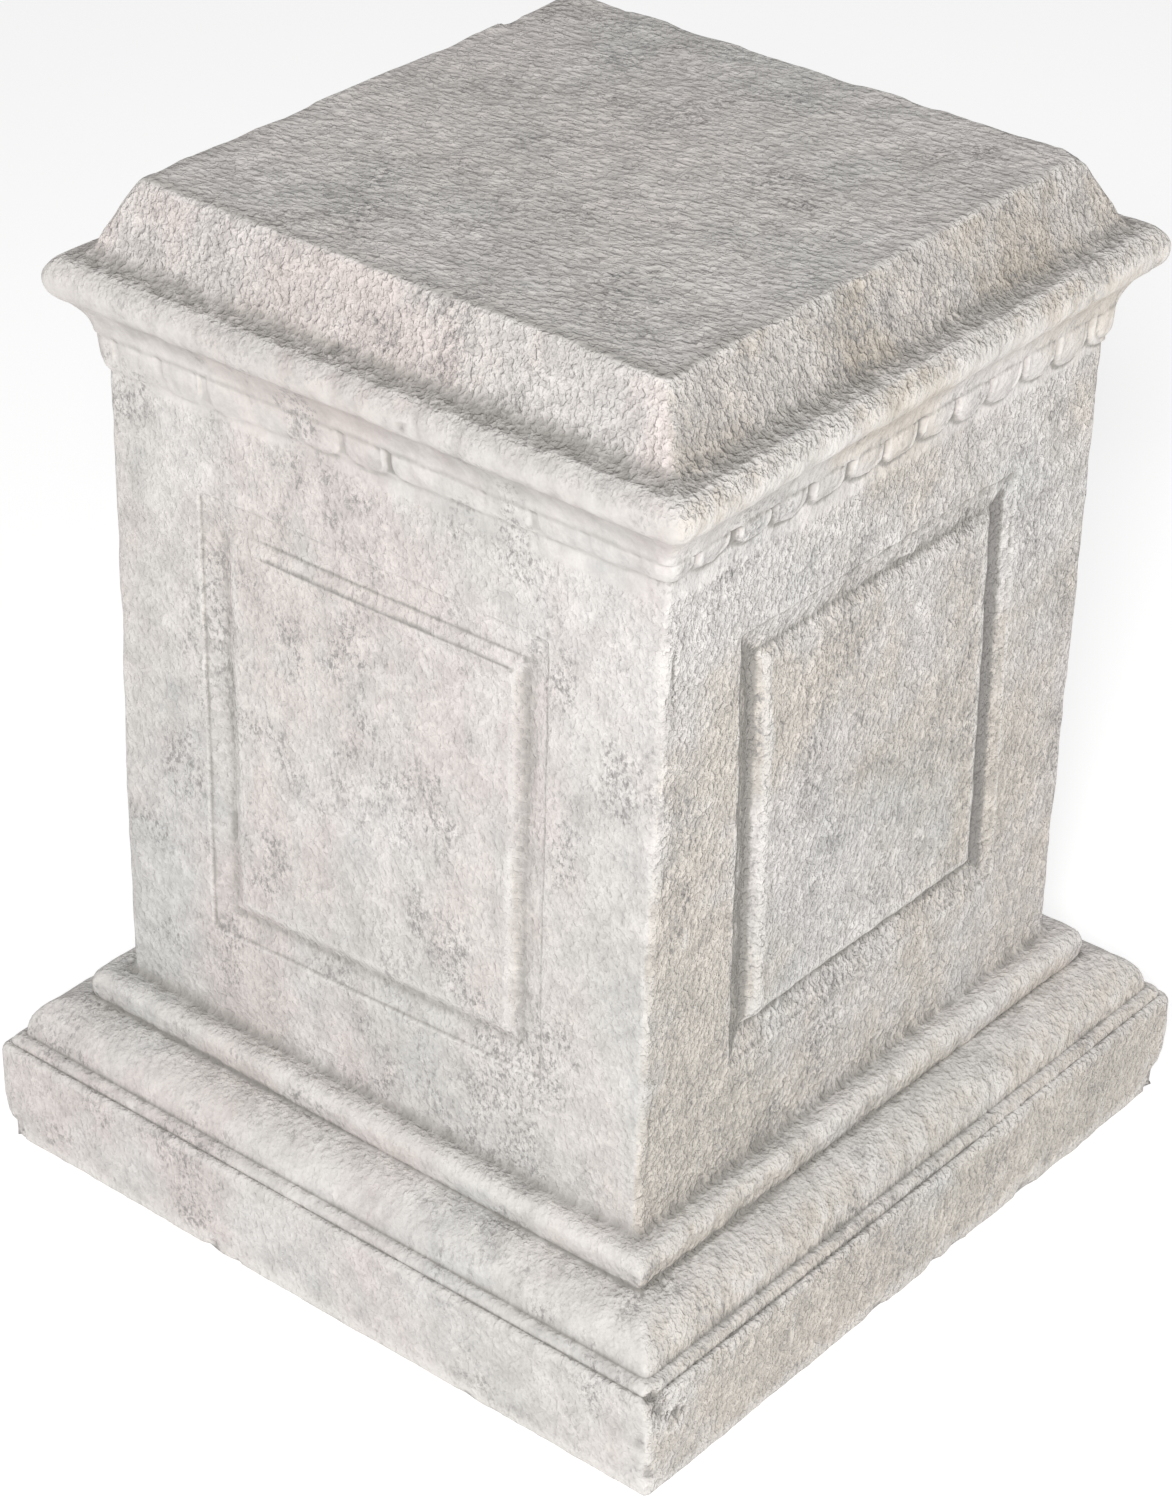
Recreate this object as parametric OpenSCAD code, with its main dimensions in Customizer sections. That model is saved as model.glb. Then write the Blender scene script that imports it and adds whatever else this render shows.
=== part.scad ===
// Square garden pedestal cast in one piece: a plinth and base mouldings, a panelled die,
// a row of eggs, and a cornice that carries a bevelled platform.
// Origin at the centre of the underside, +Z up, millimetres.

/* [Overall] */
// Height from the ground to the platform
total_h = 470; // [380:1:640]
// Width of the die across two opposite faces
die_w = 292; // [230:1:400]

/* [Plinth] */
// Height of the plinth block
plinth_h = 51; // [36:1:80]
// How far the plinth stands out beyond the mouldings on it
plinth_lip = 3.7; // [2:0.1:10]
// How much the plinth's foot draws in on each side
plinth_draw = 2; // [0:0.5:4]
// Rounding of the plinth's upright corners
plinth_corner_r = 4; // [2:0.5:8]

/* [Base mouldings] */
// Height of the thin fillet on the plinth
fillet_h = 5.5; // [4:0.5:8]
// Depth of the thin fillet from front to back
fillet_run = 5; // [3:0.5:7]
// Height of the sloping ovolo
ovolo_h = 18.5; // [12:0.5:28]
// Depth of the sloping ovolo from front to back
ovolo_run = 21.5; // [14:0.5:26]
// Height of the bead at the foot of the die
bead_h = 14.5; // [10:0.5:20]
// Rounding of the bead's top
bead_r = 6.5; // [4:0.5:9]
// How far the bead stands out from the die
bead_out = 13.8; // [10:0.1:17]

/* [Die] */
// Rounding of the die's upright edges
die_edge_r = 5; // [2:0.5:10]

/* [Panels] */
// From the die's upright edge to the panel's channel
panel_side = 53; // [40:1:64]
// From the bead's ledge up to the panel's channel
panel_foot = 53; // [36:1:70]
// From the eggs down to the panel's channel
panel_head = 37; // [24:1:50]
// Width of the slope that falls from the die into the channel
channel_fall = 12; // [8:0.5:16]
// Width of the slope that climbs from the channel to the field
channel_rise = 8; // [5:0.5:12]
// Depth of the channel
channel_d = 3; // [1.5:0.1:5]
// How far the field lies below the face of the die
field_set = 0.6; // [0:0.1:1.2]

/* [Eggs] */
// Eggs on each side, between the two corner eggs
egg_count = 11; // [7:1:13]
// Height of the row of eggs
egg_h = 19; // [14:0.5:24]
// How far the eggs stand out from the die
egg_out = 3; // [2:0.1:4]
// Width of each half of a corner egg
corner_egg_w = 15; // [10:0.5:20]
// Gap between neighbouring eggs
egg_gap = 2; // [1:0.1:3]
// Height of the round boss on each egg
boss_h = 1; // [0.5:0.1:1.6]

/* [Cornice] */
// Height of the hollow curve under the nose
cove_h = 14; // [8:0.5:20]
// How far the nose stands out from the die
nose_out = 18.3; // [14:0.1:24]
// Radius of the nose
nose_r = 9.8; // [7:0.1:12]
// Rounding of the nose's corners, seen from above
nose_corner_r = 7; // [3:0.5:10]
// Height of the bevel from the nose to the platform
bevel_h = 32.4; // [20:0.1:44]
// How far the bevel leans in on each side
bevel_run = 14; // [8:0.5:24]
// Rounding of the platform's edge
platform_edge_r = 4; // [2:0.5:6]

/* [Hidden] */
STEPS = 8;                                      // straight pieces in each curve
ROUND = 48;                                     // fragments of a full circle
BED = 2;                                        // how deep an egg sits in the die
SIDES = [0, 90, 180, 270];

die_half = die_w / 2;
nose_half = die_half + nose_out;
ledge_z = plinth_h + fillet_h + ovolo_h + bead_h;
platform_z = total_h;
nose_top_z = platform_z - bevel_h;
nose_mid_z = nose_top_z - nose_r;
cove_foot_z = nose_top_z - 2 * nose_r - cove_h;
egg_foot_z = cove_foot_z - egg_h;
soffit_half = die_half + egg_out + 0.5;         // the soffit covers the eggs' tops
bevel_foot_half = die_half + 2;                 // the bevel starts just outside the die
platform_half = bevel_foot_half - bevel_run;
bead_half = die_half + bead_out;
ovolo_foot_half = bead_half + ovolo_run;
plinth_half = ovolo_foot_half + fillet_run + plinth_lip;

// ---- curves -------------------------------------------------------------------------

// Points of an ellipse's arc from angle a0 to angle a1
function arc(centre, rx, rz, a0, a1) =
    [for (i = [0 : STEPS]) let (a = a0 + (a1 - a0) * i / STEPS)
        [centre[0] + rx * cos(a), centre[1] + rz * sin(a)]];

// Points of a curve that leaves p0 towards the pull and arrives at p1 from it
function bend(p0, pull, p1) =
    [for (i = [0 : STEPS]) let (t = i / STEPS)
        (1 - t) * (1 - t) * p0 + 2 * t * (1 - t) * pull + t * t * p1];

function mirrored(points) = [for (i = [len(points) - 1 : -1 : 0]) [-points[i][0], points[i][1]]];

// ---- outlines, as half-width against height ----------------------------------------

function plinth_outline() = concat(
    [[plinth_half - plinth_draw, 0], [plinth_half, plinth_h * 0.45]],
    arc([plinth_half - 3, plinth_h - 4], 3, 4, 0, 80));

function fillet_outline() =
    arc([ovolo_foot_half + 0.5, plinth_h + 0.5], fillet_run, fillet_h - 1, 0, 85);

function ovolo_outline() =
    arc([bead_half, plinth_h + fillet_h], ovolo_run, ovolo_h, 0, 88);

function bead_outline() = concat(
    arc([bead_half - 1.5, ledge_z - bead_r], 1.5, bead_h - bead_r, -80, 0),
    arc([bead_half - bead_r, ledge_z - bead_r], bead_r, bead_r, 12, 90),
    bend([die_half + 3, ledge_z], [die_half, ledge_z], [die_half - 0.1, ledge_z + 3]));

function base_outline() = concat(
    plinth_outline(), fillet_outline(), ovolo_outline(), bead_outline());

function cove_outline() =
    bend([soffit_half, cove_foot_z], [soffit_half + 1.5, cove_foot_z + cove_h * 0.7],
         [nose_half - nose_r * 0.55, nose_mid_z - nose_r * 0.89]);

function nose_outline() = arc([nose_half - nose_r, nose_mid_z], nose_r, nose_r, -50, 90);

function bevel_outline() = concat(
    [[bevel_foot_half + 2, nose_top_z], [bevel_foot_half - 0.5, nose_top_z + 2]],
    arc([platform_half - platform_edge_r * 0.5, platform_z - platform_edge_r],
        platform_edge_r, platform_edge_r, 24, 90));

function cornice_outline() = concat(
    [[die_half - 1, cove_foot_z]], cove_outline(), nose_outline(), bevel_outline());

// ---- building shapes ----------------------------------------------------------------

// Square block with mitred corners whose half-width follows the outline
module mitred(outline) {
    intersection() {
        rotate([90, 0, 0]) linear_extrude(height = 3 * die_w, center = true)
            polygon(concat(outline, mirrored(outline)));
        rotate([90, 0, 90]) linear_extrude(height = 3 * die_w, center = true)
            polygon(concat(outline, mirrored(outline)));
    }
}

// Upright square bar with round corners
module bar(half, corner_r, z0, z1) {
    translate([0, 0, z0]) linear_extrude(height = z1 - z0) {
        square([2 * half, 2 * (half - corner_r)], center = true);
        square([2 * (half - corner_r), 2 * half], center = true);
        for (x = [-1, 1], y = [-1, 1])
            translate([x * (half - corner_r), y * (half - corner_r)])
                circle(r = corner_r, $fn = ROUND);
    }
}

// Places children on all four faces: x runs across the face, y up it, z out of it
module on_faces() {
    for (turn = SIDES)
        rotate([0, 0, turn]) translate([0, -die_half, 0]) rotate([90, 0, 0]) children();
}

// Block with four sloping sides on a face, from size [w, h] at height z0 to another at z1
module sloped_block(w0, h0, z0, w1, h1, z1, centre_y) {
    translate([0, centre_y, 0]) intersection() {
        rotate([90, 0, 0]) linear_extrude(height = h0 + h1, center = true)
            polygon([[-w0 / 2, z0], [w0 / 2, z0], [w1 / 2, z1], [-w1 / 2, z1]]);
        rotate([90, 0, 90]) linear_extrude(height = w0 + w1, center = true)
            polygon([[-h0 / 2, z0], [h0 / 2, z0], [h1 / 2, z1], [-h1 / 2, z1]]);
    }
}

// ---- sub-parts ----------------------------------------------------------------------

module base() {
    intersection() {
        mitred(base_outline());
        bar(plinth_half, plinth_corner_r, 0, ledge_z + 10);
    }
}

module die() {
    bar(die_half, die_edge_r, plinth_h, nose_mid_z);
}

module cornice() {
    intersection() {
        mitred(cornice_outline());
        bar(nose_half, nose_corner_r, cove_foot_z - 1, platform_z + 1);
    }
}

// Channel round the raised field of one panel
module channel() {
    w = die_w - 2 * panel_side;
    foot = ledge_z + panel_foot;
    head = egg_foot_z - panel_head;
    h = head - foot;
    mid = (head + foot) / 2;
    over = 1;
    fall_over = channel_fall * over / channel_d;
    field_inset = channel_fall + channel_rise;
    rise_over = channel_rise / (channel_d - field_set);
    difference() {
        sloped_block(w - 2 * channel_fall, h - 2 * channel_fall, -channel_d,
                     w + 2 * fall_over, h + 2 * fall_over, over, mid);
        sloped_block(w - 2 * channel_fall + 2 * rise_over, h - 2 * channel_fall + 2 * rise_over,
                     -channel_d - 1,
                     w - 2 * field_inset, h - 2 * field_inset, -field_set, mid);
    }
}

// Outline of an egg that hangs from the soffit, pointed round its foot
function tongue(half, foot_h) = concat(
    [[half, egg_h + 1]], arc([0, foot_h], half, foot_h, 0, -180), [[-half, egg_h + 1]]);

module egg(half) {
    translate([0, 0, -BED]) linear_extrude(height = egg_out + BED)
        polygon(tongue(half, egg_h * 0.55));
    boss_r = min(half, egg_h / 2) - 1.5;
    boss_ball_r = (boss_r * boss_r + boss_h * boss_h) / (2 * boss_h);
    translate([0, egg_h * 0.52, egg_out - 0.2]) rotate_extrude($fn = ROUND)
        intersection() {
            translate([0, boss_h - boss_ball_r]) circle(r = boss_ball_r, $fn = 4 * ROUND);
            square([boss_r, boss_h + 1]);
        }
}

module egg_row() {
    row_half = die_half + egg_out - corner_egg_w;
    pitch = 2 * row_half / egg_count;
    for (i = [0 : egg_count - 1])
        translate([-row_half + pitch * (i + 0.5), egg_foot_z, 0]) egg((pitch - egg_gap) / 2);
}

// Egg that wraps round an upright edge of the die
module corner_eggs() {
    half = die_half + egg_out;
    inner = half - corner_egg_w + egg_gap / 2;
    outline = concat([[half, cove_foot_z + 1], [half, egg_foot_z + egg_h * 0.25]],
                     arc([half - 2, egg_foot_z + egg_h * 0.5], half - 2 - inner, egg_h * 0.5, -90, -180),
                     [[inner, cove_foot_z + 1]]);
    for (turn = SIDES) rotate([0, 0, turn]) intersection() {
        rotate([90, 0, 0]) linear_extrude(height = 3 * die_w, center = true) polygon(outline);
        rotate([90, 0, 90]) linear_extrude(height = 3 * die_w, center = true) polygon(outline);
    }
}

module pedestal() {
    color([0.80, 0.78, 0.74]) union() {
        base();
        cornice();
        difference() {
            die();
            on_faces() channel();
        }
        on_faces() egg_row();
        corner_eggs();
    }
}

pedestal();
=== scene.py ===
import math

import bpy
import numpy as np
from bpy.props import FloatProperty, FloatVectorProperty, IntProperty, PointerProperty
from bpy.types import NodeSocket, Operator, Panel, PropertyGroup
from mathutils import Matrix, Vector


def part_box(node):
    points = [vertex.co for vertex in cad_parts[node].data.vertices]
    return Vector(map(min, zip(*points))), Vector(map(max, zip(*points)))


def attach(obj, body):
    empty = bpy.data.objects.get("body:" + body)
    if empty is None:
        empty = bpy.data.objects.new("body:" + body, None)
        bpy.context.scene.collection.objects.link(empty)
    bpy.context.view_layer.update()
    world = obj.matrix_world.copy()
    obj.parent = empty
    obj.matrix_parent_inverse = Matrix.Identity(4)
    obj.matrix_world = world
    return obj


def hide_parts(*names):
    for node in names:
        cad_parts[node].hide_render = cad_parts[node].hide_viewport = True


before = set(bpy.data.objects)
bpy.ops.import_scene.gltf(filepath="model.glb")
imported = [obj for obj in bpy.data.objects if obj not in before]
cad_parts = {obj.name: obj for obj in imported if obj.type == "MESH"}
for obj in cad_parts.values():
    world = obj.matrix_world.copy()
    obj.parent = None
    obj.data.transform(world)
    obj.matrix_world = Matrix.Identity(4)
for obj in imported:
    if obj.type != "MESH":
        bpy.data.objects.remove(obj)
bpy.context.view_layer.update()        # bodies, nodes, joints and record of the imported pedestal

bl_info = {
    "name": "Weathered garden pedestal",
    "version": (1, 0, 0),
    "blender": (4, 5, 0),
    "location": "3D View > Sidebar > Pedestal",
    "description": "Square cast-stone garden pedestal with worn mouldings, and a studio to show it in",
    "category": "Add Mesh",
}

NODE = "pedestal"
PIECE = "pedestal_cast"
MM = 0.001

BOX_LOW, BOX_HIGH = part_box(NODE)

# The sides in the order of the skin's columns, anticlockwise seen from above: each side has
# the direction it faces and the direction in which its columns run.
FACING = np.array([[0, -1], [1, 0], [0, 1], [-1, 0]], float)
RUNNING = np.array([[1, 0], [0, 1], [-1, 0], [0, -1]], float)
FRONT, RIGHT, BACK, LEFT = range(4)
CORNER_SIGNS = np.array([[-1, -1], [1, -1], [1, 1], [-1, 1]], float)


# ---- settings ---------------------------------------------------------------------------


def size_setting(name, text, value):
    """A length in metres that a user may change."""
    return FloatProperty(name=name, description=text, default=value, min=0.0, unit="LENGTH", precision=4)


def colour_setting(name, text, value):
    """A linear colour that a user may change."""
    return FloatVectorProperty(name=name, description=text, default=value, size=3, min=0.0, max=1.0,
                               subtype="COLOR")


def share_setting(name, text, value, most=2.0):
    """A plain factor that a user may change."""
    return FloatProperty(name=name, description=text, default=value, min=0.0, max=most, subtype="FACTOR")


class PedestalSizes(PropertyGroup):
    """Sizes of the casting: the construction's, but for deeper carving and sharper corners."""

    width: size_setting("Width", "Width of the plinth", BOX_HIGH.x - BOX_LOW.x)
    height: size_setting("Height", "From the ground to the platform", BOX_HIGH.z - BOX_LOW.z)
    die_width: size_setting("Die width", "Width of the die across two faces", 0.292)
    die_edge: size_setting("Die edge", "Rounding of the die's upright edges", 0.004)
    plinth_height: size_setting("Plinth height", "Height of the plinth block", 0.051)
    plinth_draw: size_setting("Plinth draw", "How much the plinth's foot draws in", 0.002)
    fillet_height: size_setting("Fillet height", "Height of the thin fillet", 0.0055)
    fillet_run: size_setting("Fillet run", "Depth of the thin fillet", 0.005)
    ovolo_height: size_setting("Ovolo height", "Height of the sloping ovolo", 0.0185)
    ovolo_run: size_setting("Ovolo run", "Depth of the sloping ovolo", 0.0215)
    bead_height: size_setting("Bead height", "Height of the bead below the die", 0.0145)
    bead_round: size_setting("Bead rounding", "Rounding of the bead's top", 0.0065)
    bead_out: size_setting("Bead out", "How far the bead stands out from the die", 0.0138)
    panel_side: size_setting("Panel side", "From the die's edge to the channel", 0.053)
    panel_foot: size_setting("Panel foot", "From the bead's ledge up to the channel", 0.053)
    panel_head: size_setting("Panel head", "From the eggs down to the channel", 0.037)
    channel_fall: size_setting("Channel fall", "Width of the slope into the channel", 0.012)
    channel_rise: size_setting("Channel rise", "Width of the slope up to the field", 0.008)
    channel_depth: size_setting("Channel depth", "Depth of the channel", 0.0055)
    field_set: size_setting("Field set", "How far the field lies below the die's face", 0.0005)
    egg_count: IntProperty(name="Eggs", description="Eggs on each side", default=11, min=3, max=21)
    egg_height: size_setting("Egg height", "Height of the row of eggs", 0.019)
    egg_out: size_setting("Egg out", "How far the eggs' tops stand out", 0.0044)
    egg_edge: size_setting("Egg edge", "Width of the eggs' sloping rims", 0.0014)
    cove_height: size_setting("Cove height", "Height of the hollow under the nose", 0.014)
    nose_out: size_setting("Nose out", "How far the nose stands out from the die", 0.0183)
    nose_radius: size_setting("Nose radius", "Radius of the nose", 0.0098)
    nose_corner: size_setting("Nose corner", "Rounding of the nose's corners", 0.0052)
    bevel_height: size_setting("Bevel height", "From the nose up to the platform", 0.0324)
    bevel_run: size_setting("Bevel run", "How far the bevel leans in", 0.014)
    platform_edge: size_setting("Platform edge", "Rounding of the platform's edge", 0.004)


class PedestalWear(PropertyGroup):
    """How far the casting has moved and worn away from its plain form."""

    lean: FloatVectorProperty(
        name="Lean", description="How far the top leans at the left, front, right and back corners",
        default=(0.0045, 0.0085, 0.0042, 0.0035), size=4, unit="LENGTH", precision=4)
    lean_towards: FloatProperty(name="Lean towards", description="Direction of the lean, seen from above",
                                default=math.radians(39.8), subtype="ANGLE")
    bow: size_setting("Bow", "Slow bowing of the faces", 0.0009)
    ripple: size_setting("Ripple", "Hand-sized unevenness of the faces", 0.0004)
    stipple: size_setting("Stipple", "Depth of the hammered surface", 0.00045)
    chip: share_setting("Chips", "Depth of the chips, as a share of the usual", 1.0)
    clog: share_setting("Clogged eggs", "How far the gaps between the front's eggs are filled", 0.74, 1.0)


class StoneFinish(PropertyGroup):
    """Colours of the stone and its patina; the wash and speck colours also paint shade."""

    pale: colour_setting("Pale stone", "Clean face of the stone", (0.655, 0.628, 0.608))
    cool: colour_setting("Cool stone", "Greyer areas", (0.58, 0.57, 0.553))
    pink: colour_setting("Pink bloom", "Pinkish areas", (0.625, 0.562, 0.54))
    beige: colour_setting("Beige bloom", "Sandy areas", (0.565, 0.51, 0.44))
    # Also laid as painted shade on the panels' turned-away slopes.
    wash: colour_setting("Wash", "Grey wash left in the hollows", (0.275, 0.26, 0.24))
    # Also laid as painted shade deepest in the panels' channels.
    speck: colour_setting("Specks", "Dark specks in clusters", (0.24, 0.23, 0.225))
    chalk: colour_setting("Chalk", "Rubbed ridges", (0.74, 0.715, 0.685))


class StudioSettings(PropertyGroup):
    """The room round the pedestal."""

    floor: colour_setting("Floor", "Colour of the floor", (0.90, 0.90, 0.90))
    floor_glow: share_setting("Floor glow", "Light that the floor gives off", 0.35)
    room: share_setting("Room light", "Strength of the even light from all round", 0.478)
    key_power: FloatProperty(name="Key light", description="Power of the main light", default=48.0,
                             min=0.0, unit="POWER")
    fill_power: FloatProperty(name="Fill light", description="Power of the side light", default=8.0,
                              min=0.0, unit="POWER")
    azimuth: FloatProperty(name="Azimuth", description="Turn of the camera round the pedestal",
                           default=math.radians(39.80), subtype="ANGLE")
    elevation: FloatProperty(name="Elevation", description="Height of the camera as an angle",
                             default=math.radians(31.82), subtype="ANGLE")
    roll: FloatProperty(name="Roll", description="Tilt of the camera about its own view",
                        default=math.radians(0.63), subtype="ANGLE")
    distance: size_setting("Distance", "From the camera to the middle of the view", 1.7495)
    aim_height: size_setting("Aim height", "Height of the middle of the view", 0.1943)
    aim_side: FloatProperty(name="Aim side", description="Middle of the view, to the camera's right",
                            default=-0.0038, unit="LENGTH", precision=4)
    lens: FloatProperty(name="Lens", description="Focal length of the camera", default=96.07, min=1.0,
                        unit="CAMERA")


# ---- noise ------------------------------------------------------------------------------


class Grain:
    """Smooth noise in space, from a seeded table of directions."""

    CELLS = 256

    def __init__(self, seed):
        draw = np.random.default_rng(seed)
        arrows = draw.normal(size=(self.CELLS, 3))
        self.arrows = arrows / np.linalg.norm(arrows, axis=1)[:, None]
        self.order = np.tile(draw.permutation(self.CELLS), 3)
        # The lattice is turned, so that it doesn't line up with the faces.
        self.turn = np.array(Matrix.Rotation(0.7, 3, Vector((0.5, 0.7, 0.3)).normalized()))

    def at(self, points, size):
        """Noise of about -1 to 1 at the points, with lumps of the given size."""
        place = points @ self.turn.T / size + 7.3
        cell = np.floor(place).astype(int)
        part = place - cell
        ease = part ** 3 * (part * (part * 6 - 15) + 10)
        total = np.zeros(points.shape[:-1])
        for corner in np.ndindex(2, 2, 2):
            x, y, z = (cell[..., k] + corner[k] for k in range(3))
            order, wrap = self.order, self.CELLS - 1
            pick = order[order[order[x & wrap] + (y & wrap)] + (z & wrap)]
            reach = (self.arrows[pick] * (part - np.array(corner))).sum(-1)
            total += reach * np.prod(np.where(corner, ease, 1 - ease), axis=-1)
        return total * 1.7

    def layered(self, points, size, layers=3):
        """Noise with finer and weaker layers on it."""
        return sum(self.at(points + 3.1 * k, size / 2 ** k) / 2 ** k for k in range(layers))


def smooth(low, high, value):
    """0 below low, 1 above high, and an even curve between."""
    t = np.clip((value - low) / (high - low), 0, 1)
    return t * t * (3 - 2 * t)


def bump(value, width):
    """A rounded hump of height 1 about 0."""
    return np.exp(-(value / width) ** 2)


# ---- outline of the mouldings, as half-width against height -----------------------------


def arc(centre, reach_x, reach_z, start, end, steps=16):
    """Points of an ellipse's arc between two angles in degrees."""
    angles = np.radians(np.linspace(start, end, steps + 1))
    return np.column_stack([centre[0] + reach_x * np.cos(angles), centre[1] + reach_z * np.sin(angles)])


def bend(start, pull, end, steps=16):
    """Points of a curve that leaves start towards the pull and arrives at end from it."""
    t = np.linspace(0, 1, steps + 1)[:, None]
    return (1 - t) ** 2 * np.array(start) + 2 * t * (1 - t) * np.array(pull) + t ** 2 * np.array(end)


def spaced(points, step):
    """The same line with its points about one step apart."""
    points = np.asarray(points, float)
    run = np.concatenate([[0], np.cumsum(np.linalg.norm(np.diff(points, axis=0), axis=1))])
    places = np.linspace(0, run[-1], max(round(run[-1] / step), 1) + 1)
    return np.column_stack([np.interp(places, run, points[:, k]) for k in range(2)])


class Rings:
    """Rings of the skin from the foot up, each a half-width, a height and a corner radius."""

    def __init__(self):
        self.rows = []

    def add(self, points, step, corner):
        """Adds a stretch of outline, leaving out a point that the last stretch ended on."""
        for half, height in spaced(points, step):
            if self.rows and math.dist((half, height), self.rows[-1][:2]) < 0.3 * MM:
                continue
            self.rows.append((half, height, corner))
        return self

    def table(self):
        """The rings as an array, with corner radii eased from one stretch to the next."""
        rows = np.array(self.rows)
        for _ in range(2):
            rows[1:-1, 2] = (rows[:-2, 2] + 2 * rows[1:-1, 2] + rows[2:, 2]) / 4
        return rows


class Levels:
    """Heights and half-widths that several parts share, from the sizes."""

    def __init__(self, size):
        self.die = size.die_width / 2
        self.plinth = size.width / 2
        self.bead = self.die + size.bead_out
        self.nose = self.die + size.nose_out
        self.ovolo_foot = self.bead + size.ovolo_run
        self.fillet_z = size.plinth_height + size.fillet_height
        self.ledge_z = self.fillet_z + size.ovolo_height + size.bead_height
        self.nose_top_z = size.height - size.bevel_height
        self.nose_mid_z = self.nose_top_z - size.nose_radius
        self.cove_foot_z = self.nose_mid_z - size.nose_radius - size.cove_height
        self.egg_foot_z = self.cove_foot_z - size.egg_height
        self.soffit = self.die + size.egg_out
        self.bevel_foot = self.die + 2 * MM
        self.platform = self.bevel_foot - size.bevel_run
        self.panel_half = self.die - size.panel_side
        self.panel_z = (self.ledge_z + size.panel_foot, self.egg_foot_z - size.panel_head)
        self.field_half = self.panel_half - size.channel_fall - size.channel_rise


def lower_rings(size, at):
    """Foot, plinth, base mouldings and die, up to the eggs."""
    rings = Rings()
    foot = at.plinth - size.plinth_draw
    rings.add([(foot - 0.8 * MM, 0), (foot, 1.2 * MM)], 1 * MM, 3.5 * MM)
    rings.add([(foot, 1.2 * MM), (at.plinth - 0.3 * MM, 23 * MM),
               (at.plinth - 0.2 * MM, size.plinth_height - 5 * MM)], 3.3 * MM, 4 * MM)
    rings.add(arc((at.plinth - 3.2 * MM, size.plinth_height - 4 * MM), 3 * MM, 4 * MM, 0, 84),
              1.2 * MM, 4 * MM)
    groove = at.ovolo_foot + size.fillet_run + 0.2 * MM
    rings.add([(groove - 0.6 * MM, size.plinth_height - 0.7 * MM)], 1, 3.5 * MM)
    rings.add(arc((at.ovolo_foot, size.plinth_height + 0.4 * MM), size.fillet_run,
                  size.fillet_height - 1 * MM, 4, 74), 1.1 * MM, 3.5 * MM)
    rings.add([(at.ovolo_foot + 0.3 * MM, at.fillet_z - 0.9 * MM)], 1, 3.5 * MM)
    rings.add(arc((at.bead, at.fillet_z), size.ovolo_run, size.ovolo_height, 2, 86), 2.5 * MM, 3 * MM)
    top = at.ledge_z
    rings.add(arc((at.bead - 1.6 * MM, top - size.bead_round), 1.6 * MM, size.bead_height - size.bead_round,
                  -84, 0), 1.4 * MM, 3.5 * MM)
    rings.add(arc((at.bead - size.bead_round, top - size.bead_round), size.bead_round, size.bead_round,
                  0, 90), 1.8 * MM, 4.5 * MM)
    rings.add(bend((at.die + 4 * MM, top - 0.2 * MM), (at.die + 0.6 * MM, top - 0.9 * MM),
                   (at.die, top + 4 * MM)), 1.4 * MM, 4 * MM)
    low, high = at.panel_z
    slope = size.channel_fall + size.channel_rise
    for end, step in ((low - 1.5 * MM, 3.1 * MM), (low + 1.8 * MM, 1 * MM), (low + slope + 1 * MM, 2 * MM),
                      (high - slope - 2 * MM, 3.8 * MM), (high - slope + 10 * MM, 1.15 * MM),
                      (high - 1.8 * MM, 2 * MM), (high + 1.5 * MM, 1 * MM),
                      (at.egg_foot_z - 2.2 * MM, 2.9 * MM)):
        rings.add([(at.die, rings.rows[-1][1]), (at.die, end)], step, size.die_edge)
    return rings.table()


def egg_rings(size, at):
    """The band that carries the eggs, close enough together for their rims."""
    bottom, top = at.egg_foot_z - 1.2 * MM, at.cove_foot_z - 0.6 * MM
    return Rings().add([(at.die, bottom), (at.die, top)], 1.25 * MM, size.die_edge).table()


def upper_rings(size, at):
    """Cove, nose, recess, bevel and the platform's edge."""
    radius = size.nose_radius
    rings = Rings()
    rings.add(bend((at.soffit + 0.2 * MM, at.cove_foot_z + 0.4 * MM),
                   (at.soffit + 1.5 * MM, at.cove_foot_z + size.cove_height * 0.7),
                   (at.nose - radius * 0.55, at.nose_mid_z - radius * 0.89)), 2 * MM, size.nose_corner)
    rings.add(arc((at.nose - radius, at.nose_mid_z), radius, radius, -50, 66), 1.9 * MM, size.nose_corner)
    rings.add(bend((at.nose - radius * 0.6, at.nose_top_z - 0.9 * MM),
                   (at.bevel_foot + 2 * MM, at.nose_top_z),
                   (at.bevel_foot - 0.6 * MM, at.nose_top_z + 5 * MM)), 1.8 * MM, size.nose_corner * 0.7)
    edge = size.platform_edge
    rings.add([(at.bevel_foot - 0.6 * MM, at.nose_top_z + 5 * MM),
               (at.platform + edge * 0.44, size.height - edge * 0.62)], 2.7 * MM, 3.2 * MM)
    rings.add(arc((at.platform - edge * 0.5, size.height - edge), edge, edge, 26, 84),
              1.1 * MM, 3.6 * MM)
    rings.add([(at.platform - edge * 0.9, size.height), (at.platform - edge * 2.4, size.height)],
              2.6 * MM, 3.6 * MM)
    return rings.table()


# ---- columns of the skin ----------------------------------------------------------------


CORNER_STEPS = 6

# Spacings of the columns in millimetres, for the field, the channel, the channel's crisp outer
# edge, the margin, and the strip next to the upright edge.
SEEN_STOPS = (3.4, 2.0, 1.1, 3.0, 1.3)
HIDDEN_STOPS = (5.4, 3.2, 1.7, 4.6, 2.6)


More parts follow.
